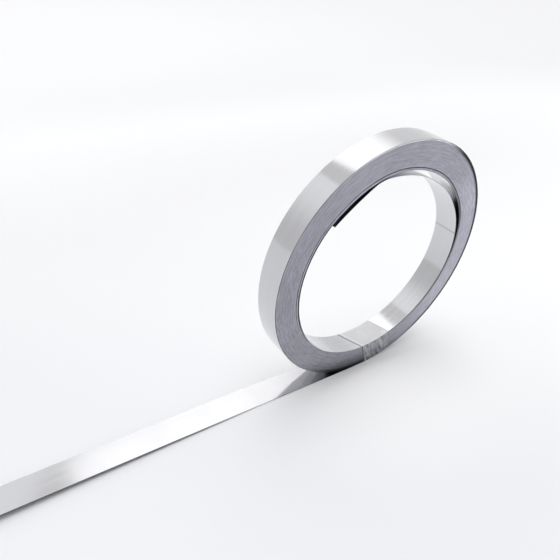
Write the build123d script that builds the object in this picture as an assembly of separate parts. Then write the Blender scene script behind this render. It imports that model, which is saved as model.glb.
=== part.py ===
from build123d import *

import os
from math import atan2, cos, degrees, hypot, radians, sin, sqrt, tan

# A hand-size coil of nickel-plated steel strip. It stands on its rim, the outer end pulled out
# along the floor as a straight tail, the innermost turn sprung off the bore, and a band of clear
# tape wrapped askew round the wall of the coil to keep it from unwinding.
# Millimetres. The origin is on the floor below the coil's axis, where the tail leaves the coil.
# The tail runs to -X, the coil's axis is Y, and +Z is up.

# Strip and coil
strip_width = 10.0
strip_thickness = 0.2
coil_bore = 76.0
coil_build = 10.0
tail_length = 160.0

# Where two layers part, the crack starts at this share of the strip's thickness
crack_share = 0.25

# Innermost turn: angles in degrees, counted from the top of the bore, positive to +X.
# It leaves the bore at the lift-off and runs back over the top as four tangent arcs.
loose_lift_off = 102.0
loose_radius_shares = (0.84, 1.58, 0.55, 2.1)
loose_sweeps = (59.0, 29.0, 45.5, 12.0)
loose_crack_sweep = 8.0

# Clear tape
tape_width = 15.0
tape_thickness = 0.06
tape_skew = 23.0
tape_start = -5.1
tape_flap = 4.5
tape_glue = 0.01

bore_radius = coil_bore / 2
coil_radius = bore_radius + coil_build
behind_radius = bore_radius + strip_thickness
tape_skin = tape_glue + tape_thickness
side_face = strip_width / 2

# Sketch plane of the coil's section: u along +X, v up, centred on the coil's axis
coil_plane = Plane(origin=(0, 0, coil_radius), x_dir=(1, 0, 0), z_dir=(0, -1, 0))


def at_angle(radius, angle):
    """Point at an angle from the top, on a circle round the coil's axis."""
    return Vector(radius * sin(radians(angle)), radius * cos(radians(angle)))


def onto_circle(point, radius):
    """The point moved along its own radius onto a circle round the coil's axis."""
    return at_angle(radius, degrees(atan2(point.X, point.Y)))


def arc_chain(start, heading, radii, sweeps):
    """Arcs that run on from each other with no kink."""
    arcs = []
    for radius, sweep in zip(radii, sweeps):
        arc = JernArc(start=start, tangent=heading, radius=radius, arc_size=sweep)
        arcs.append(arc)
        start = arc @ 1
        heading = arc % 1
    return arcs


def coil_outline():
    """Outer turn and tail: the outer end passes under the turn before it and runs out flat."""
    under_radius = coil_radius - strip_thickness / 2
    under_lift = strip_thickness / 2
    crack_height = crack_share * strip_thickness
    crack_reach = sqrt(under_radius**2 - (under_radius - crack_height) ** 2)
    floor = -coil_radius
    tail_top = floor + strip_thickness
    contact = (0, floor)
    top = (0, coil_radius)
    crack_top = (-crack_reach, tail_top + crack_height)
    right_half = ThreePointArc(contact, (coil_radius, 0), top)
    left_half = ThreePointArc(top, (-under_radius, under_lift), crack_top)
    tail = Polyline(
        crack_top,
        (-crack_reach, tail_top),
        (-tail_length, tail_top),
        (-tail_length, floor),
        contact,
    )
    return make_face([right_half, left_half, tail])


def bore_outline():
    """The open bore, with the innermost turn standing free in its upper part."""
    lift_off = at_angle(bore_radius, loose_lift_off)
    back_over = at_angle(1, loose_lift_off - 90)
    radii = [share * bore_radius for share in loose_radius_shares]
    inside = arc_chain(lift_off, back_over, radii, loose_sweeps)

    behind = at_angle(behind_radius, loose_lift_off)
    behind_radii = [radius + strip_thickness for radius in radii]
    crack = JernArc(
        start=behind,
        tangent=back_over,
        radius=behind_radii[0],
        arc_size=loose_crack_sweep,
    )
    behind_sweeps = [loose_sweeps[0] - loose_crack_sweep, *loose_sweeps[1:]]
    outside = arc_chain(crack @ 1, crack % 1, behind_radii, behind_sweeps)

    free_end = outside[-1] @ 1
    step = onto_circle(free_end, behind_radius)
    crack_root = onto_circle(crack @ 1, behind_radius)
    wound_wall = TangentArc(lift_off, step, tangent=-back_over)
    bared_wall = ThreePointArc(step, (0, behind_radius), crack_root)
    crack_end = Line(crack_root, crack @ 1)
    cut_end = Line(free_end, inside[-1] @ 1)
    return make_face([*inside, wound_wall, bared_wall, crack_end, *outside, cut_end])


def strip_coil():
    """The whole strip, wound, as one solid."""
    section = coil_outline() - bore_outline()
    return extrude(coil_plane * section, amount=side_face, both=True)


def ring(inner, outer, depth, y):
    """Ring round the coil's axis, centred at y."""
    flat = Circle(outer) - Circle(inner)
    return Pos(0, y, 0) * extrude(coil_plane * flat, amount=depth / 2, both=True)


def rim_height(radius, x):
    """Height above the floor of a circle round the coil's axis, on its lower side."""
    return coil_radius - sqrt(radius**2 - x**2)


tape_slope = tan(radians(tape_skew))
tape_run = tape_width / cos(radians(tape_skew))


def tape_round_panel(inner, outer, edges, slope):
    """Tape on the bore or on the rim, between two slanting edges given at the middle of the width."""
    left, right = edges
    reach = side_face + tape_width
    plan = Polyline(
        (left - slope * reach, -reach),
        (right - slope * reach, -reach),
        (right + slope * reach, reach),
        (left + slope * reach, reach),
        close=True,
    )
    column = extrude(make_face(plan), amount=coil_radius / 2, both=True)
    return ring(inner, outer, strip_width + 2 * tape_skin, 0) & column


def tape_side_panel(inner, outer, y, folds, fold_radius, slope):
    """Tape on one side of the coil, its edges starting at two folds on a rim."""
    top = coil_build + tape_width
    corners = []
    for x, heights in zip(folds, ((-top, top), (top, -top))):
        for height in heights:
            corners.append((x + slope * (height - rim_height(fold_radius, x)), height))
    column = extrude(Plane.XZ * make_face(Polyline(*corners, close=True)), amount=2 * strip_width, both=True)
    return ring(inner, outer, tape_thickness, y) & column


def edge_on_rim(x, slope):
    """Where a tape edge that leaves the bore's edge at x comes down to the rim."""
    place = x
    for _ in range(20):
        place = x + slope * (rim_height(bore_radius, x) - rim_height(coil_radius, place))
    return place


def tape_band():
    """One straight length of tape, wound askew once round the wall of the coil.

    It starts as a flap on the far side, crosses the bore, the near side and the rim, each time
    moving on along X by the same slope, and ends as a second flap on the far side.
    """
    step = tape_slope * strip_width
    far_bore = (tape_start, tape_start + tape_run)
    near_bore = [x + step for x in far_bore]
    near_rim = [edge_on_rim(x, tape_slope) for x in near_bore]
    far_rim = [x + step for x in near_rim]
    bore_middle = [x + step / 2 for x in far_bore]
    rim_middle = [x + step / 2 for x in near_rim]

    tape_bore = bore_radius - tape_skin
    tape_rim = coil_radius + tape_skin
    layer = side_face + tape_glue + tape_thickness / 2
    band = tape_round_panel(tape_bore, bore_radius - tape_glue, bore_middle, -tape_slope)
    band += tape_round_panel(coil_radius + tape_glue, tape_rim, rim_middle, tape_slope)
    band += tape_side_panel(tape_bore, tape_rim, -layer, near_bore, bore_radius, -tape_slope)
    band += tape_side_panel(tape_bore, bore_radius + tape_flap, layer, far_bore, bore_radius, tape_slope)
    band += tape_side_panel(coil_radius - tape_flap, tape_rim, layer, far_rim, coil_radius, tape_slope)
    return band


os.makedirs("parts", exist_ok=True)
for name, solid in {"strip_coil": strip_coil(), "tape_band": tape_band()}.items():
    export_step(solid, f"parts/{name}.step")
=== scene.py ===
from math import atan2, cos, degrees, hypot, pi, radians, sin, sqrt, tan

import bmesh
import bpy
import numpy as np
from mathutils import Matrix, Vector


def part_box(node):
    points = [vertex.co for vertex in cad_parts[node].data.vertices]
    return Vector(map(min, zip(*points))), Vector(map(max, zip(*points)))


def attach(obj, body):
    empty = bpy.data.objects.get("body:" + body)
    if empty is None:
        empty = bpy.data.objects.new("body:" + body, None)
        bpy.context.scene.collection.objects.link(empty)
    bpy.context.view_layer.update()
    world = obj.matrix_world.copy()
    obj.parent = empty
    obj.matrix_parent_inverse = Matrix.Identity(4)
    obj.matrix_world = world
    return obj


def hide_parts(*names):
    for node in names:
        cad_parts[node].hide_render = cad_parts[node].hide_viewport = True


# A coil of nickel-plated strip on its rim, with a tail, a sprung inner turn and a band of clear tape.
# Metres, in the frame of the solids: the floor is z = 0, the coil's axis is Y, the tail runs to -X.

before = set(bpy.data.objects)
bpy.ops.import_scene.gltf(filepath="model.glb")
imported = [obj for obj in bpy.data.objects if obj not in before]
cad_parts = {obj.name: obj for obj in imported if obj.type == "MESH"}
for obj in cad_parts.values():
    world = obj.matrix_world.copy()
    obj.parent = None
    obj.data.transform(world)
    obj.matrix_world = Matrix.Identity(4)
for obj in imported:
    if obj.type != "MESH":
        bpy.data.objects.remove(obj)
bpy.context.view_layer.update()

# Strip and coil, from the solid where its box tells them
coil_low, coil_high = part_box("strip_coil")
strip_width = coil_high.y - coil_low.y
half_width = strip_width / 2
tail_length = -coil_low.x
coil_radius = coil_high.z / 2
bore_radius = 0.038
strip_thickness = 0.0002
strip_corner = 0.00003
arc_step = radians(1.0)

# Materials of the strip's faces, by their place in its list
flat_face = 0
edge_face = 1

# Innermost turn: degrees from the top of the bore, positive to +X, then arcs back over the top
inner_turn_run = 13.0
lift_off_angle = 114.0
loose_radius_shares = (0.86, 1.19, 0.34, 2.85)
loose_arc_angles = (57.2, 60.5, 30.5, 9.3)
crease_angle = 37.5

# Turns that show on the two ends of the coil
wound_turns = 48
coil_columns = 180
groove_width = 0.00004
groove_depth = 0.00007
# Groove bottoms between turns and the walls of the wider gaps are painted dark: painted shade
groove_shade_share = 0.1
gap_depth = 0.0012
gap_painted_shade = 0.02
lip_depth = 0.00003
layer_gap = 0.00001
rim_gap = 0.00004
turn_seed = 11
turn_waves = 3
turn_wander = 0.000007
turn_tilt = 0.000004
turn_tone_spread = 0.04
turn_tone_limits = (0.9, 1.1)

# Slack turns next to the bore, and the gaps beside them
slack_turns = 4
slack_sag = 0.0012
least_slack = 0.00003
slack_opening = 0.00027
hugging_gap = 0.00014
tail_side_gap = 0.00006

# Painted light and shade on the ends of the coil, as (places, tones): painted shade by height and by
# radius, then painted shade and highlights from the rim or the bore
floor_shade = ((0.0008, 0.0016, 0.003, 0.005, 0.007, 0.010), (0.02, 0.12, 0.45, 0.64, 0.88, 1.0))
tail_shade = ((0.040, 0.043, 0.045, 0.047), (0.08, 0.18, 0.28, 0.45))
rim_painted_shade = ((0.0, 0.0006, 0.0012), (0.03, 0.1, 1.0))
rim_painted_highlight = ((0.0004, 0.00045, 0.0009), (1.75, 0.86, 1.0))
bore_painted_shade = ((0.0, 0.0003, 0.0006, 0.0009, 0.0014), (0.12, 0.25, 0.4, 0.65, 1.0))
bore_tail_side = ((0.0, 0.0003, 0.0005, 0.0007), (0.12, 0.35, 1.2, 1.3))

# Tail: it runs out a little to the far side, and towards its end its near edge stands off the floor more
tail_steps = 80
tail_flat = 0.045
tail_lift_power = 0.97
tail_near_lift = 0.0024
tail_far_lift = 0.0016
tail_aside = 0.0009
tail_aside_by = 0.055

# Clear tape
tape_width = 0.015
tape_thickness = 0.00006
tape_skew = 23.0
tape_start = -0.0051
tape_flap = 0.0045
tape_stand_off = 0.00007
tape_bend_share = 0.7
tape_pinch = 0.0019
tape_columns = 49
tape_face_steps = 16
tape_flap_steps = 6

# How milky the tape is, from 0 to 1, along its length
flap_milk = (0.2, 0.2)
bore_fold_milk = 0.5
bore_milk = 0.8
near_side_milk = (0.26, 0.1)
near_rim_fold_milk = 0.2
rim_milk = 0.6
far_rim_fold_milk = 0.3

floor_half = 4.0
floor_drop = 0.00002


def new_object(name, verts, faces, materials, face_materials, smooth=True):
    """A mesh object from plain lists, with its faces turned outwards."""
    mesh = bpy.data.meshes.new(name)
    mesh.from_pydata([tuple(v) for v in verts], [], faces)
    for material in materials:
        mesh.materials.append(material)
    mesh.polygons.foreach_set("material_index", face_materials)
    mesh.polygons.foreach_set("use_smooth", [smooth] * len(faces))
    work = bmesh.new()
    work.from_mesh(mesh)
    bmesh.ops.recalc_face_normals(work, faces=work.faces)
    work.to_mesh(mesh)
    work.free()
    mesh.update()
    made = bpy.data.objects.new(name, mesh)
    bpy.context.collection.objects.link(made)
    return made


def store_values(mesh, name, values):
    """One number per point of a mesh, for its material to read."""
    layer = mesh.attributes.new(name, "FLOAT", "POINT")
    layer.data.foreach_set("value", np.array(values, np.float32).ravel())


class Skin:
    """Collects loops of points that are skinned one to the next, as one mesh."""

    def __init__(self):
        self.verts = []
        self.faces = []
        self.face_materials = []
        self.run = []
        self.tone = []
        self.sharp = set()

    def mark_sharp(self, a, b):
        self.sharp.add((min(a, b), max(a, b)))

    def add(self, loops, runs, tones, side_materials, ring=False):
        """Skin one row of loops: a ring closes on itself, and an open length gets a cap at each end."""
        first = len(self.verts)
        size = len(loops[0])
        for loop, run, tone in zip(loops, runs, tones):
            self.verts.extend(loop)
            self.run.extend(run)
            self.tone.extend(tone)
        rows = len(loops)
        for row in range(rows if ring else rows - 1):
            here = first + row * size
            there = first + (row + 1) % rows * size
            for side in range(size):
                after = (side + 1) % size
                self.faces.append((here + side, here + after, there + after, there + side))
                self.face_materials.append(side_materials[side])
                self.mark_sharp(here + side, there + side)
        if not ring:
            for start in (first, first + (rows - 1) * size):
                self.faces.append(tuple(range(start, start + size)))
                self.face_materials.append(edge_face)
                for side in range(size):
                    self.mark_sharp(start + side, start + (side + 1) % size)

    def build(self, name, materials):
        """The mesh object, with the run of the strip, the tone of its edges and its sharp corners."""
        made = new_object(name, self.verts, self.faces, materials, self.face_materials)
        mesh = made.data
        run = mesh.attributes.new("strip_run", "FLOAT_VECTOR", "POINT")
        run.data.foreach_set("vector", np.array(self.run, np.float32).ravel())
        store_values(mesh, "edge_tone", self.tone)
        sharp = mesh.attributes.new("sharp_edge", "BOOLEAN", "EDGE")
        ends = np.empty(len(mesh.edges) * 2, np.int32)
        mesh.edges.foreach_get("vertices", ends)
        ends = np.sort(ends.reshape(-1, 2), axis=1)
        marks = [tuple(pair) in self.sharp for pair in ends.tolist()]
        sharp.data.foreach_set("value", marks)
        return made


def at_angle(radius, angle):
    """Point at an angle from the top, on a circle round the coil's axis."""
    return np.array((radius * sin(radians(angle)), radius * cos(radians(angle))))


def from_top(point):
    """Angle of a point from the top of the coil, in degrees, positive to +X."""
    return degrees(atan2(point[0], point[1]))


def from_x(way):
    """Angle of a direction in the section plane from +X, in radians, positive upwards."""
    return atan2(way[1], way[0])


def ease(value, low, high):
    """Smooth step from 0 at low to 1 at high."""
    share = min(1.0, max(0.0, (value - low) / (high - low)))
    return share * share * (3 - 2 * share)


def window(value, rise, fall):
    """1 between two soft ends and 0 outside them; each end is given as (from, to)."""
    return ease(value, *rise) * (1 - ease(value, *fall))


class Arc:
    """Arc that turns left, in the plane across the coil's axis: u along +X, v up."""

    def __init__(self, centre, radius, start, sweep):
        self.centre = np.array(centre)
        self.radius = radius
        self.start = start
        self.sweep = sweep

    def at(self, share):
        """Point at a share of the arc, and the direction outwards there."""
        angle = self.start + self.sweep * share
        out = np.array((cos(angle), sin(angle)))
        return self.centre + self.radius * out, out

    def length(self):
        return self.radius * self.sweep

    def reach(self, out):
        """Distance from the coil's axis to the arc's circle, in the direction out."""
        along = float(self.centre @ out)
        return along + sqrt(self.radius**2 - float(self.centre @ self.centre) + along**2)


def arc_from(start, out, radius, sweep):
    """Left-turning arc from a point whose outward direction is out."""
    return Arc(np.array(start) - radius * np.array(out), radius, from_x(out), sweep)


def inner_turn_arcs():
    """The innermost turn, from where the second turn covers it, round to its free end."""
    lift_off = at_angle(bore_radius, lift_off_angle)
    out = lift_off / bore_radius
    loose = []
    start = lift_off
    for share, angle in zip(loose_radius_shares, loose_arc_angles):
        arc = arc_from(start, out, share * bore_radius, radians(angle))
        loose.append(arc)
        start, out = arc.at(1)
    free_end = start + strip_thickness * out
    step_out = free_end / hypot(*free_end)
    step = (bore_radius + strip_thickness) * step_out
    inward = -lift_off / bore_radius
    across = step - lift_off
    wall_radius = float(across @ across) / (2 * float(across @ inward))
    centre = lift_off + wall_radius * inward
    start_angle = from_x(step - centre)
    end_angle = from_x(lift_off - centre)
    wall = Arc(centre, wall_radius, start_angle, (end_angle - start_angle) % (2 * pi))
    return wall, loose, from_x(step_out)


wall_arc, loose_arcs, step_angle = inner_turn_arcs()
free_end_angle = 90 - degrees(step_angle)
wall_sweep = (radians(90 - lift_off_angle) - step_angle) % (2 * pi)
right_arc = Arc((0, 0), coil_radius, -pi / 2, pi)
left_arc = Arc((0, strip_thickness / 2), coil_radius - strip_thickness / 2, pi / 2, pi)


def in_frame(point, y):
    """Point of the section plane, at y, in the frame."""
    return (point[0], y, coil_radius + point[1])


strip_sides = ([flat_face] + [edge_face] * 3) * 2


def strip_section(tuck):
    """Corners of the strip's section, as (depth, y), with small slit corners."""
    c = strip_corner
    t = strip_thickness - tuck
    near, far = -half_width, half_width
    return (
        (0, near + c), (0, far - c), (c, far), (t - c, far),
        (t, far - c), (t, near + c), (t - c, near), (c, near),
    )


def add_strip(skin, places):
    """A length of strip; places are (point, thickness way, run, tone, near lift, far lift, aside)."""
    corners = strip_section(layer_gap)
    loops, runs, tones = [], [], []
    for point, way, run, tone, near_lift, far_lift, aside in places:
        loop = []
        for depth, y in corners:
            lift = near_lift + (far_lift - near_lift) * (y / strip_width + 0.5)
            x, _, z = in_frame(point + way * depth, y)
            loop.append((x, y + aside, z + lift))
        loops.append(loop)
        runs.append([(run, y, depth) for depth, y in corners])
        tones.append([tone] * len(corners))
    skin.add(loops, runs, tones, strip_sides)


def arc_places(arcs, inwards, run, tone_at):
    """Places along arcs that follow on; inwards says which way the thickness goes."""
    places = []
    for number, arc in enumerate(arcs):
        count = max(2, round(arc.sweep / arc_step))
        for i in range(0 if number == 0 else 1, count + 1):
            point, out = arc.at(i / count)
            way = -out if inwards else out
            here = run + arc.length() * i / count
            places.append((point, way, here, tone_at(from_top(point)), 0, 0, 0))
        run += arc.length()
    return places


def tail_edge_tone(from_foot):
    """Edge of the tail: painted as catching the light a little way out from the coil, and painted dark
    with shade elsewhere.
    """
    brightest = 0.9
    return brightest * window(from_foot, (0.038, 0.05), (0.055, 0.085))


def tail_places():
    """The tail, from its cut end to the coil, its springy end a little off the floor."""
    places = []
    up = np.array((0.0, 1.0))
    for i in range(tail_steps):
        x = -tail_length * (1 - i / tail_steps)
        reach = max(0.0, -x - tail_flat) / (tail_length - tail_flat)
        lift = reach**tail_lift_power
        point = np.array((x, -coil_radius))
        aside = tail_aside * ease(-x, 0, tail_aside_by)
        places.append((
            point, up, x + tail_length, tail_edge_tone(-x),
            tail_near_lift * lift, tail_far_lift * lift, aside,
        ))
    return places


def right_side(angle):
    """1 on the side of the coil away from the tail, 0 on the other."""
    return window(angle, (25, 65), (124, 152))


def left_side(angle):
    """1 on the tail's side of the coil, from low down to near the top, 0 elsewhere."""
    return window(angle, (-135, -105), (-35, -10))


def rim_shade(angle):
    """1 where the rim turns away from the light, on the side away from the tail."""
    return window(angle, (20, 36), (138, 156))


def rim_shine(angle):
    """1 over the top, where the edges of the outermost turns catch the light."""
    return window(angle, (-48, -12), (16, 28))


def outer_edge_tone(angle):
    """Edge of the outermost turn: painted highlight over the top, painted shade at the foot and away
    from the tail.
    """
    plain, brighter, darker = 0.34, 0.84, 0.32
    foot = ease(abs(angle), 140, 168) * (1 - rim_shade(angle))
    return plain + brighter * rim_shine(angle) - darker * rim_shade(angle) - darker * foot


def inner_edge_tone(angle):
    """Edge of the innermost turn: painted shade on the tail's side and where it still hugs the coil."""
    plain, hugging_darker, left_darker = 0.78, 0.6, 0.7
    hugging = window(angle, (60, 95), (160, 172))
    return plain - hugging_darker * hugging - left_darker * left_side(angle)


def end_tone(angle, radius, inner, outer):
    """How bright the slit edges are on the ends of the coil, by place: painted light and shade, lighter
    to the right and over the top, with painted highlights and shade from the rim and the bore, and
    painted shade by the foot, beside the tail and near the floor.
    """
    plain, right_brighter, top_brighter = 0.66, 0.19, 0.045
    foot_share, lower_share, past_end = 0.85, 0.22, 1.15
    from_rim = outer - radius
    from_bore = radius - inner
    right = right_side(angle)
    over_top = window(angle, (-90, -40), (15, 45))
    # Painted light: lighter on the right and over the top
    tone = plain + right_brighter * right + top_brighter * over_top
    tone *= 1 + rim_shine(angle) * (np.interp(from_rim, *rim_painted_highlight) - 1)
    by_foot = foot_share * window(angle, (-179, -172), (-162, -142))
    tone *= 1 + max(rim_shade(angle), by_foot) * (np.interp(from_rim, *rim_painted_shade) - 1)
    bore = np.interp(from_bore, *bore_painted_shade)
    bore += lower_share * (1 - bore) * ease(angle, 85, 105)
    tone *= 1 + right * (bore - 1)
    if from_bore < slack_turns * strip_thickness:
        left_bore = np.interp(from_bore, *bore_tail_side) if angle < free_end_angle else past_end
        tone *= 1 + left_side(angle) * (left_bore - 1)
    # Painted shade near the floor and beside the tail
    height = coil_radius + radius * cos(radians(angle))
    by_tail = window(angle, (-178, -166), (-152, -134))
    low = np.interp(height, *floor_shade) * (1 - by_tail * np.interp(radius, *tail_shade))
    return tone * low


def bore_gap(angle):
    """Gap behind the innermost turn, which still hugs the coil loosely below the lift-off."""
    hugging = window(angle, (80, 112), (160, 172))
    left = 1 - ease(abs(angle), 100, 150) if angle < 0 else 0.0
    return layer_gap + hugging_gap * hugging + tail_side_gap * left


def slack_gap(angle):
    """Gap outside the few slack turns next to the bore, widest on the tail's side and over the top."""
    return least_slack + window(angle, (-125, -95), (55, 82)) * slack_opening


def slack_drop(angle):
    """How far the slack turns sag into the bore, where the innermost turn leaves them room."""
    end_share, top_share = 0.18, 0.82
    past_end = end_share * ease(angle, -50, -42)
    over_top = top_share * ease(angle, -22, 22)
    return slack_sag * (past_end + over_top) * (1 - ease(angle, 44, 78))


def turn_partings(angle, wound, inner, outer):
    """Radii where one turn meets the next, with the width and the depth of the groove or gap there."""
    slack = slack_gap(angle)
    slack_edges = inner + strip_thickness * np.arange(slack_turns)
    parting = inner + strip_thickness * slack_turns + slack / 2
    tight_edges = np.linspace(parting + slack / 2, outer, wound_turns - slack_turns + 1)[1:]
    edges = np.concatenate((slack_edges, [parting], tight_edges))
    widths = np.full(wound_turns + 1, groove_width)
    widths[slack_turns] = slack
    depths = np.full(wound_turns + 1, groove_depth)
    depths[0] = gap_depth if wound else groove_depth
    depths[slack_turns] = gap_depth
    depths[-1] = gap_depth
    return edges, widths, depths


def add_wound_turns(skin, rng):
    """The turns between the innermost and the outermost, as one ring with a groove at each turn."""
    size = (wound_turns, turn_waves)
    amount = rng.normal(0, turn_wander / 2, size)
    phase = rng.uniform(0, 2 * pi, size)
    rest = rng.normal(0, turn_wander, wound_turns)
    tilts = rng.normal(0, turn_tilt, (2, wound_turns))
    own_tone = np.clip(rng.normal(1.0, turn_tone_spread, wound_turns), *turn_tone_limits)
    parted = (0, slack_turns, wound_turns)

    loops, runs, loop_tones = [], [], []
    for column in range(coil_columns):
        around = step_angle + 2 * pi * (column + 0.5) / coil_columns
        out = np.array((cos(around), sin(around)))
        angle = from_top(out)
        wound = (around - step_angle) % (2 * pi) < wall_sweep
        inner = (wall_arc.reach(out) if wound else bore_radius) + strip_thickness
        inner += bore_gap(angle) - slack_drop(angle)
        outline = right_arc if out[0] >= 0 else left_arc
        outer = outline.reach(out) - strip_thickness - rim_gap
        edges, widths, depths = turn_partings(angle, wound, inner, outer)
        near, far, near_tone, far_tone = [], [], [], []
        for turn in range(wound_turns):
            shift = rest[turn]
            for wave in range(turn_waves):
                shift += amount[turn, wave] * sin((wave + 1) * around + phase[turn, wave])
            low = edges[turn] + widths[turn] / 2
            high = edges[turn + 1] - widths[turn + 1] / 2
            tone = own_tone[turn] * end_tone(angle, (low + high) / 2, inner, outer)
            for side, tilt, kept, kept_tone in (
                (-1, tilts[0, turn], near, near_tone),
                (1, tilts[1, turn], far, far_tone),
            ):
                y = side * half_width + shift
                kept.append((edges[turn], side * (half_width - depths[turn])))
                # Painted shade down in the grooves and gaps
                kept_tone.append(gap_painted_shade if turn in parted else groove_shade_share * tone)
                if turn in parted:
                    kept.append((low, y - side * lip_depth))
                    kept_tone.append(gap_painted_shade)
                kept.append((low, y - tilt))
                kept.append((high, y + tilt))
                kept_tone.extend((tone, tone))
                if turn + 1 in parted:
                    kept.append((high, y - side * lip_depth))
                    kept_tone.append(gap_painted_shade)
        for side, kept, kept_tone in ((-1, near, near_tone), (1, far, far_tone)):
            kept.append((edges[-1], side * (half_width - depths[-1])))
            kept_tone.append(gap_painted_shade)
        section = near + far[::-1]
        loops.append([in_frame(radius * out, y) for radius, y in section])
        runs.append([(around * radius, radius, y) for radius, y in section])
        loop_tones.append(near_tone + far_tone[::-1])
    side_materials = ([edge_face] * (len(near) - 1) + [flat_face]) * 2
    skin.add(loops, runs, loop_tones, side_materials, ring=True)


def wound_strip(materials):
    """The whole strip: inner turn with its free end, wound turns, outer turn and tail."""
    rng = np.random.default_rng(turn_seed)
    skin = Skin()
    add_strip(skin, arc_places([wall_arc, *loose_arcs], False, inner_turn_run, inner_edge_tone))
    add_wound_turns(skin, rng)
    outer_turn = arc_places([right_arc, left_arc], True, tail_length, outer_edge_tone)
    add_strip(skin, tail_places() + outer_turn)
    return skin.build("wound_strip", materials)


tape_slope = tan(radians(tape_skew))
tape_run = tape_width / cos(radians(tape_skew))


def rim_height(radius, x):
    """Height of a circle round the coil's axis, on its lower side."""
    return coil_radius - sqrt(radius**2 - x**2)


def slide_to(x, z, way, radius):
    """Length along way from (x, z) to a circle round the coil's axis, by halving."""
    halvings = 50
    low, high = 0.0, coil_radius / 2
    inside = hypot(x, coil_radius - z) < radius
    for _ in range(halvings):
        middle = (low + high) / 2
        at = hypot(x + way[0] * middle, coil_radius - z - way[1] * middle)
        if (at < radius) == inside:
            low = middle
        else:
            high = middle
    return (low + high) / 2


def tape_rows(across):
    """Points along the tape, and how milky each is; across goes from 0 to 1 over its width."""
    off = tape_stand_off
    bend = off * tape_bend_share
    inner, outer = bore_radius, coil_radius
    near_y, far_y = -half_width, half_width
    rising, falling = (tape_slope, 1), (tape_slope, -1)
    step = tape_slope * strip_width
    far_bore = tape_start + across * tape_run
    near_bore = far_bore + step - across * tape_pinch
    near_bore_z = rim_height(inner, near_bore)
    drop = slide_to(near_bore, near_bore_z, falling, outer)
    near_rim = near_bore + tape_slope * drop
    far_rim = near_rim + step
    far_rim_z = rim_height(outer, far_rim)
    rows, milky = [], []

    def put(point, cover):
        rows.append(point)
        milky.append(cover)

    def side(y, x0, z0, way, length, count, covers):
        for i in range(count + 1):
            go = length * i / count
            cover = covers[0] + (covers[1] - covers[0]) * i / count
            put((x0 + way[0] * go, y, z0 + way[1] * go), cover)

    def round_face(radius, x0, x1, y0, way, cover):
        count = tape_face_steps
        for i in range(count + 1):
            x = x0 + (x1 - x0) * i / count
            put((x, y0 + way * strip_width * i / count, rim_height(radius, x)), cover)

    far_bore_z = rim_height(inner, far_bore)
    flap = slide_to(far_bore, far_bore_z, (-tape_slope, -1), inner + tape_flap)
    start = (far_bore - tape_slope * flap, far_bore_z - flap)
    side(far_y + off, *start, rising, flap, tape_flap_steps, flap_milk)
    put((far_bore, far_y + bend, rim_height(inner - bend, far_bore)), bore_fold_milk)
    round_face(inner - off, far_bore, near_bore, far_y, -1, bore_milk)
    put((near_bore, near_y - bend, rim_height(inner - bend, near_bore)), bore_fold_milk)
    side(near_y - off, near_bore, near_bore_z, falling, drop, tape_face_steps, near_side_milk)
    put((near_rim, near_y - bend, rim_height(outer + bend, near_rim)), near_rim_fold_milk)
    round_face(outer + off, near_rim, far_rim, near_y, 1, rim_milk)
    put((far_rim, far_y + bend, rim_height(outer + bend, far_rim)), far_rim_fold_milk)
    flap = slide_to(far_rim, far_rim_z, rising, outer - tape_flap)
    side(far_y + off, far_rim, far_rim_z, rising, flap, tape_flap_steps, flap_milk)
    return rows, milky


def tape_band(material):
    """Clear tape, once askew round the wall of the coil, pinched at its near fold."""
    columns = tape_columns
    made_rows = [tape_rows(i / (columns - 1)) for i in range(columns)]
    grid = np.array([rows for rows, _ in made_rows])
    cover = [milky for _, milky in made_rows]
    rows = grid.shape[1]
    faces = []
    for column in range(columns - 1):
        for row in range(rows - 1):
            here = column * rows + row
            faces.append((here, here + 1, here + rows + 1, here + rows))
    made = new_object("clear_tape", grid.reshape(-1, 3), faces, [material], [0] * len(faces))
    store_values(made.data, "tape_across", np.repeat(np.linspace(0, 1, columns), rows))
    store_values(made.data, "tape_cover", cover)
    thick = made.modifiers.new("film thickness", "SOLIDIFY")
    thick.thickness = tape_thickness
    thick.offset = 0
    return made


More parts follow.
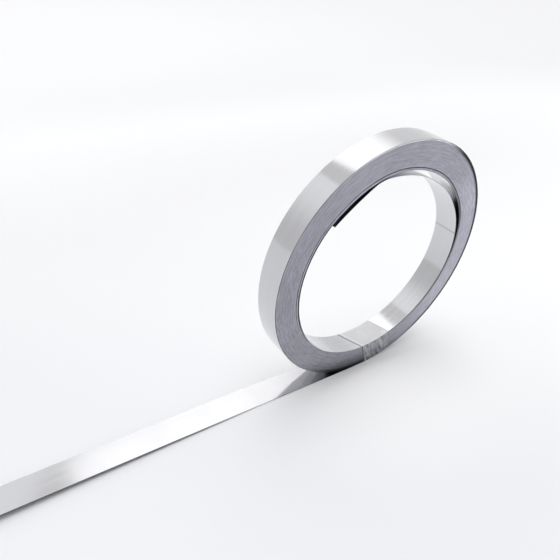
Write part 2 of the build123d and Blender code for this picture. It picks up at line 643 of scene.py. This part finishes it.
class Nodes:
    """A short way to place and link shader nodes."""

    def __init__(self, tree):
        self.tree = tree
        self.tree.nodes.clear()

    def put(self, socket, value):
        """Link a socket to another one, or set it to a plain value."""
        if isinstance(value, bpy.types.NodeSocket):
            self.tree.links.new(value, socket)
        else:
            socket.default_value = value

    def fill(self, node, **inputs):
        """Put values into a node's inputs, with _ for each space in their names."""
        for key, value in inputs.items():
            self.put(node.inputs[key.replace("_", " ")], value)

    def add(self, kind, settings=None, **inputs):
        node = self.tree.nodes.new("ShaderNode" + kind)
        for key, value in (settings or {}).items():
            setattr(node, key, value)
        self.fill(node, **inputs)
        return node

    def group(self, tree, **inputs):
        return self.add("Group", {"node_tree": tree}, **inputs).outputs

    def stored(self, name, output="Fac"):
        """A value that is stored on the points of the mesh."""
        return self.add("Attribute", {"attribute_name": name}).outputs[output]

    def axes(self, vector):
        return self.add("SeparateXYZ", Vector=vector).outputs

    def measure(self, operation, vector, other):
        """A number from two vectors, such as their dot product or their distance."""
        node = self.add("VectorMath", {"operation": operation})
        self.put(node.inputs[0], vector)
        self.put(node.inputs[1], other)
        return node.outputs["Value"]

    def math(self, operation, first, second=0.0):
        node = self.add("Math", {"operation": operation})
        self.put(node.inputs[0], first)
        self.put(node.inputs[1], second)
        return node.outputs[0]

    def times(self, first, second):
        return self.math("MULTIPLY", first, second)

    def most(self, first, *others):
        """The largest of several values."""
        for other in others:
            first = self.math("MAXIMUM", first, other)
        return first

    def blend(self, share, first, second):
        """Mix of two colours."""
        node = self.add("Mix", {"data_type": "RGBA"})
        self.put(node.inputs[0], share)
        self.put(node.inputs[6], first)
        self.put(node.inputs[7], second)
        return node.outputs[2]

    def mix(self, share, first, second):
        """Mix of two numbers."""
        node = self.add("Mix", {"data_type": "FLOAT"})
        self.put(node.inputs[0], share)
        self.put(node.inputs[2], first)
        self.put(node.inputs[3], second)
        return node.outputs[0]

    def between(self, value, low, high, out_low=0.0, out_high=1.0):
        """Smooth step between low and high, from out_low to out_high."""
        node = self.add("MapRange", {"interpolation_type": "SMOOTHSTEP"}, Value=value)
        self.fill(node, From_Min=low, From_Max=high, To_Min=out_low, To_Max=out_high)
        return node.outputs[0]


def group_tree(name, inputs, outputs):
    """An empty node group with named numbers: inputs as (name, default), outputs as names."""
    tree = bpy.data.node_groups.new(name, "ShaderNodeTree")
    nodes = Nodes(tree)
    for label, default in inputs:
        socket = tree.interface.new_socket(label, in_out="INPUT", socket_type="NodeSocketFloat")
        socket.default_value = default
    for label in outputs:
        tree.interface.new_socket(label, in_out="OUTPUT", socket_type="NodeSocketFloat")
    given = tree.nodes.new("NodeGroupInput").outputs
    result = tree.nodes.new("NodeGroupOutput").inputs
    return tree, nodes, given, result


def handling_smudges_group():
    """Soft clouds left by handling: a mask over the surface."""
    sockets = (("Size", 60.0), ("Amount", 0.5))
    tree, nodes, given, result = group_tree("handling_smudges", sockets, ("Mask",))
    place = nodes.add("TexCoord").outputs["Object"]
    cloud = nodes.add("TexNoise", Vector=place, Scale=given["Size"], Detail=4.0, Roughness=0.6)
    soft = nodes.between(cloud.outputs[0], 0.35, 0.7)
    nodes.put(result["Mask"], nodes.times(soft, given["Amount"]))
    return tree


def rolling_lines_group():
    """Fine lines along the strip, from its rolling: a height and a mask of the broader streaks."""
    broadening = 0.16
    sockets = (("Fineness", 5000.0), ("Length", 25.0))
    tree, nodes, given, result = group_tree("rolling_lines", sockets, ("Height", "Streaks"))
    axes = nodes.axes(nodes.stored("strip_run", "Vector"))
    along = nodes.times(axes[0], given["Length"])
    over = nodes.times(axes[1], given["Fineness"])
    lines = nodes.add("CombineXYZ", X=along, Y=over).outputs[0]
    fine = nodes.add("TexNoise", Vector=lines, Scale=1.0, Detail=3.0, Roughness=0.7)
    broad = nodes.add("CombineXYZ", X=along, Y=nodes.times(over, broadening)).outputs[0]
    streaks = nodes.add("TexNoise", Vector=broad, Scale=0.6, Detail=2.0)
    nodes.put(result["Height"], fine.outputs[0])
    nodes.put(result["Streaks"], nodes.between(streaks.outputs[0], 0.3, 0.7))
    return tree


def new_material(name, shader="BsdfPrincipled"):
    """A material with one shader on its surface."""
    material = bpy.data.materials.new(name)
    material.use_nodes = True
    nodes = Nodes(material.node_tree)
    surface = nodes.add(shader)
    nodes.add("OutputMaterial", Surface=surface.outputs[0])
    return material, nodes, surface


def satin_nickel(lines, smudges):
    """Nickel plating on the flats: satin, with rolling lines, faint handling and the painted shade of
    one crease.
    """
    dark_streak = (0.604, 0.604, 0.621, 1)
    light_streak = (0.632, 0.632, 0.649, 1)
    handled_nickel = (0.591, 0.591, 0.608, 1)
    crease_painted_shade = (0.30, 0.30, 0.31, 1)
    crease_run = inner_turn_run + wall_arc.length() + loose_arcs[0].radius * radians(crease_angle)
    material, nodes, surface = new_material("satin_nickel")
    rolled = nodes.group(lines, Fineness=5000.0, Length=22.0)
    handled = nodes.group(smudges, Size=55.0, Amount=0.6)["Mask"]
    colour = nodes.blend(rolled["Streaks"], dark_streak, light_streak)
    colour = nodes.blend(handled, colour, handled_nickel)
    along = nodes.axes(nodes.stored("strip_run", "Vector"))[0]
    # Painted shade: a dark line along the crease
    from_crease = nodes.math("ABSOLUTE", nodes.math("SUBTRACT", along, crease_run))
    crease = nodes.between(from_crease, 0.00018, 0.00055, 0.55, 0.0)
    colour = nodes.blend(crease, colour, crease_painted_shade)
    rough = nodes.between(rolled["Streaks"], 0.0, 1.0, 0.115, 0.145)
    rough = nodes.math("ADD", rough, nodes.times(handled, 0.04))
    relief = nodes.add("Bump", Strength=0.06, Distance=0.00001, Height=rolled["Height"]).outputs[0]
    nodes.fill(surface, Metallic=1.0, Base_Color=colour, Roughness=rough, Normal=relief)
    return material


def slit_edge(lines, smudges):
    """Slit edges of the strip, which make up the ends of the coil: greyer, each turn its own tone, times
    the painted light and shade stored in the edge tone.
    """
    black = (0.0, 0.0, 0.0, 1)
    cool_grey = (0.89, 0.89, 1.0, 1)
    pale_grey = (0.93, 0.93, 0.96, 1)
    brightest = 0.76
    material, nodes, surface = new_material("slit_edge")
    cut = nodes.group(lines, Fineness=3000.0, Length=280.0)
    handled = nodes.group(smudges, Size=45.0, Amount=0.5)["Mask"]
    grain = nodes.between(cut["Height"], 0.3, 0.7, 0.77, 1.23)
    worn = nodes.between(handled, 0.0, 0.5, 1.0, 0.93)
    level = nodes.times(nodes.times(nodes.stored("edge_tone"), grain), worn)
    level = nodes.times(level, brightest)
    bright = nodes.blend(nodes.between(level, 0.6, 1.0), cool_grey, pale_grey)
    colour = nodes.blend(level, black, bright)
    rough = nodes.between(cut["Streaks"], 0.0, 1.0, 0.42, 0.52)
    relief = nodes.add("Bump", Strength=0.15, Distance=0.00001, Height=cut["Height"]).outputs[0]
    nodes.fill(surface, Metallic=1.0, Base_Color=colour, Roughness=rough, Normal=relief)
    return material


def clear_film(smudges):
    """Clear tape: a milky satin film with puckers painted with shade and glints, its edges darker, and a
    painted highlight beside its leading edge.
    """
    dull_film = (0.82, 0.82, 0.83, 1)
    milky_film = (0.85, 0.85, 0.86, 1)
    painted_highlight_film = (0.95, 0.95, 0.96, 1)
    dark_film_line = (0.10, 0.10, 0.12, 1)
    pale_film_line = (0.70, 0.70, 0.71, 1)
    folds_over, folds_along = 11.0, 160.0
    material, nodes, surface = new_material("clear_film")
    place = nodes.add("TexCoord").outputs["Object"]
    axes = nodes.axes(place)
    clouds = nodes.group(smudges, Size=140.0, Amount=1.0)["Mask"]
    across = nodes.stored("tape_across")
    cover = nodes.stored("tape_cover")
    clinging = nodes.between(cover, 0.3, 0.6, 1.0, 0.0)

    lead = nodes.between(across, 0.010, 0.026, 1.0, 0.0)
    trail = nodes.between(across, 0.966, 0.982)
    film = nodes.blend(clouds, dull_film, milky_film)
    # Painted highlight: the film is whiter just beside its leading edge
    film = nodes.blend(nodes.between(across, 0.04, 0.12, 0.8, 0.0), film, painted_highlight_film)
    # Darker film for the edge lines, and for the painted shade of the puckers
    darker_film = nodes.blend(nodes.between(cover, 0.25, 0.7), dark_film_line, pale_film_line)

    fold_x = nodes.times(across, folds_over)
    fold_y = nodes.times(axes[2], folds_along)
    folds = nodes.add("CombineXYZ", X=fold_x, Y=fold_y).outputs[0]
    puckers = nodes.add("TexNoise", Vector=folds, Scale=1.0, Detail=2.0).outputs[0]
    # Painted shade and painted glints of the puckers, on the near side only
    near_side = nodes.between(axes[1], -0.004, -0.003, 1.0, 0.0)
    before_trail = nodes.between(across, 0.65, 0.95, 1.0, 0.0)
    held = nodes.times(clinging, nodes.times(before_trail, near_side))
    pucker_shade = nodes.times(nodes.between(puckers, 0.5, 0.62), held)
    glint = nodes.times(nodes.between(puckers, 0.36, 0.48, 1.0, 0.0), held)
    colour = nodes.blend(nodes.most(lead, trail, pucker_shade), film, darker_film)

    hazy = nodes.times(cover, nodes.between(clouds, 0.0, 1.0, 0.94, 1.06))
    trail_haze = nodes.mix(clinging, 1.0, 0.25)
    hazy = nodes.times(hazy, nodes.between(across, 0.8, 1.0, 1.0, trail_haze))
    # The film is also hazier along its leading and trailing edges
    lead_line_haze = nodes.times(lead, nodes.between(cover, 0.25, 0.7, 0.7, 0.2))
    trail_line_haze = nodes.times(trail, nodes.mix(clinging, 0.85, 0.1))
    glint_haze = nodes.times(glint, 0.34)
    pucker_haze = nodes.times(pucker_shade, 0.22)
    alpha = nodes.most(hazy, glint_haze, lead_line_haze, trail_line_haze, pucker_haze)

    rough = nodes.between(clouds, 0.0, 1.0, 0.38, 0.5)
    creases = nodes.add("TexNoise", Vector=place, Scale=420.0, Detail=3.0, Distortion=0.6).outputs[0]
    relief = nodes.add("Bump", Strength=0.3, Distance=0.00005, Height=creases).outputs[0]
    nodes.fill(surface, Base_Color=colour, Roughness=rough, Alpha=alpha, Normal=relief)
    nodes.fill(surface, Specular_IOR_Level=0.3)
    return material


def table_top():
    """Pale table top: white onward from the coil, with a painted pool of light round the coil, painted
    shade far back under the softbox, and greyer past the tail.
    """
    near_grey = (0.845, 0.850, 0.867, 1)
    middle_white = (0.908, 0.910, 0.915, 1)
    far_white = (0.948, 0.948, 0.950, 1)
    softbox_painted_shade = (0.868, 0.868, 0.870, 1)
    coil_painted_light = (0.948, 0.948, 0.953, 1)
    side_grey = (0.84, 0.84, 0.85, 1)
    material, nodes, surface = new_material("table_top")
    place = nodes.add("TexCoord").outputs["Object"]
    onward = nodes.measure("DOT_PRODUCT", place, (0.63, 0.77, 0.0))
    back = nodes.measure("DOT_PRODUCT", place, (0.2, 0.98, 0.0))
    tailward = nodes.measure("DOT_PRODUCT", place, (-0.976, 0.216, 0.0))
    from_coil = nodes.measure("DISTANCE", place, (0.01, 0.0, 0.0))
    colour = near_grey
    for share, tone in (
        (nodes.between(onward, -0.06, 0.03), middle_white),
        (nodes.between(onward, 0.0, 0.13), far_white),
        # Painted shade under the softbox, where its light falls on the floor
        (nodes.between(back, 0.28, 0.52), softbox_painted_shade),
        # Painted light: a paler pool round the coil, where its shadow falls
        (nodes.between(from_coil, 0.02, 0.08, 1.0, 0.0), coil_painted_light),
        (nodes.between(tailward, 0.10, 0.42), side_grey),
    ):
        colour = nodes.blend(share, colour, tone)
    nodes.fill(surface, Base_Color=colour, Roughness=0.7, Specular_IOR_Level=0.2)
    half = floor_half
    verts = [(-half, -half, 0), (half, -half, 0), (half, half, 0), (-half, half, 0)]
    floor = new_object("table_top", verts, [(0, 1, 2, 3)], [material], [0], smooth=False)
    floor.location.z = -floor_drop


def pale_studio():
    """Pale studio: pale walls, dimmer above them on the camera's side, with a broad light overhead."""
    tail_wall, far_wall, ceiling = 0.70, 0.87, 1.10
    front_wall, above_front = 0.88, 0.27
    crown_way, crown_strength = (0.0, 0.06, 0.998), 2.24
    plain_tint, front_tint = (1.0, 1.003, 1.012, 1), (0.985, 0.995, 1.03, 1)
    world = bpy.data.worlds.new("pale_studio")
    bpy.context.scene.world = world
    world.use_nodes = True
    nodes = Nodes(world.node_tree)
    way = nodes.add("TexCoord").outputs["Generated"]
    axes = nodes.axes(way)
    horizon = nodes.between(axes[0], -1.0, -0.2, tail_wall, far_wall)
    rise = nodes.math("ADD", axes[2], nodes.times(axes[1], 0.5))
    dome = nodes.mix(nodes.between(rise, 0.555, 1.015), horizon, ceiling)
    front = nodes.between(axes[1], -0.25, 0.15, 1.0, 0.0)
    low = nodes.between(axes[2], 0.80, 0.93, 1.0, 0.0)
    fill = nodes.times(front, low)
    dome = nodes.mix(fill, dome, nodes.between(axes[2], 0.14, 0.36, front_wall, above_front))
    overhead = nodes.measure("DOT_PRODUCT", way, crown_way)
    crown = nodes.between(overhead, 0.90, 0.965, 0.0, crown_strength)
    tint = nodes.blend(fill, plain_tint, front_tint)
    light = nodes.add("Background", Color=tint, Strength=nodes.math("ADD", dome, crown))
    nodes.add("OutputWorld", Surface=light.outputs[0])


def softbox():
    """Tall softbox behind the coil; its edges show in the tail, on the rim and in the bore."""
    left_bottom, left_top, right = -0.085, -0.255, 0.32
    bottom, middle, top = 0.27, 0.35, 0.62
    behind = 0.262
    edge, edge_blur, edge_lean = -0.048, 0.006, 0.2
    border_glow, face_glow = 0.82, 1.67
    right_share = 0.52
    material, nodes, glow = new_material("softbox", "Emission")
    axes = nodes.axes(nodes.add("TexCoord").outputs["Object"])
    lean = nodes.times(nodes.math("SUBTRACT", axes[2], middle), edge_lean)
    along = nodes.math("SUBTRACT", axes[0], lean)
    face = nodes.between(along, edge - edge_blur, edge + edge_blur, border_glow, face_glow)
    fade = nodes.between(along, 0.14, 0.30, 1.0, right_share)
    nodes.fill(glow, Strength=nodes.times(face, fade))
    verts = [
        (left_bottom, behind, bottom), (right, behind, bottom),
        (right, behind, top), (left_top, behind, top),
    ]
    panel = new_object("softbox", verts, [(0, 1, 2, 3)], [material], [0], smooth=False)
    panel.visible_camera = False


def camera():
    """Camera, with its place, turn and lens fitted to the photo."""
    place = Vector((-0.13605, -0.11218, 0.15199))
    azimuth, elevation, roll = radians(-39.525), radians(34.432), radians(8.108)
    data = bpy.data.cameras.new("camera")
    data.sensor_width = 36.0
    data.lens = 35.30
    data.clip_start = 0.005
    view = bpy.data.objects.new("camera", data)
    turn = Matrix.Rotation(azimuth, 4, "Z") @ Matrix.Rotation(pi / 2 - elevation, 4, "X")
    view.matrix_world = Matrix.Translation(place) @ turn @ Matrix.Rotation(roll, 4, "Z")
    bpy.context.collection.objects.link(view)
    bpy.context.scene.camera = view


bpy.context.scene.view_settings.view_transform = "Standard"
smudges = handling_smudges_group()
lines = rolling_lines_group()
strip_piece = wound_strip([satin_nickel(lines, smudges), slit_edge(lines, smudges)])
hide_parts("strip_coil")
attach(strip_piece, "root")
tape_piece = tape_band(clear_film(smudges))
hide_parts("tape_band")
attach(tape_piece, "root")
table_top()
pale_studio()
softbox()
camera()
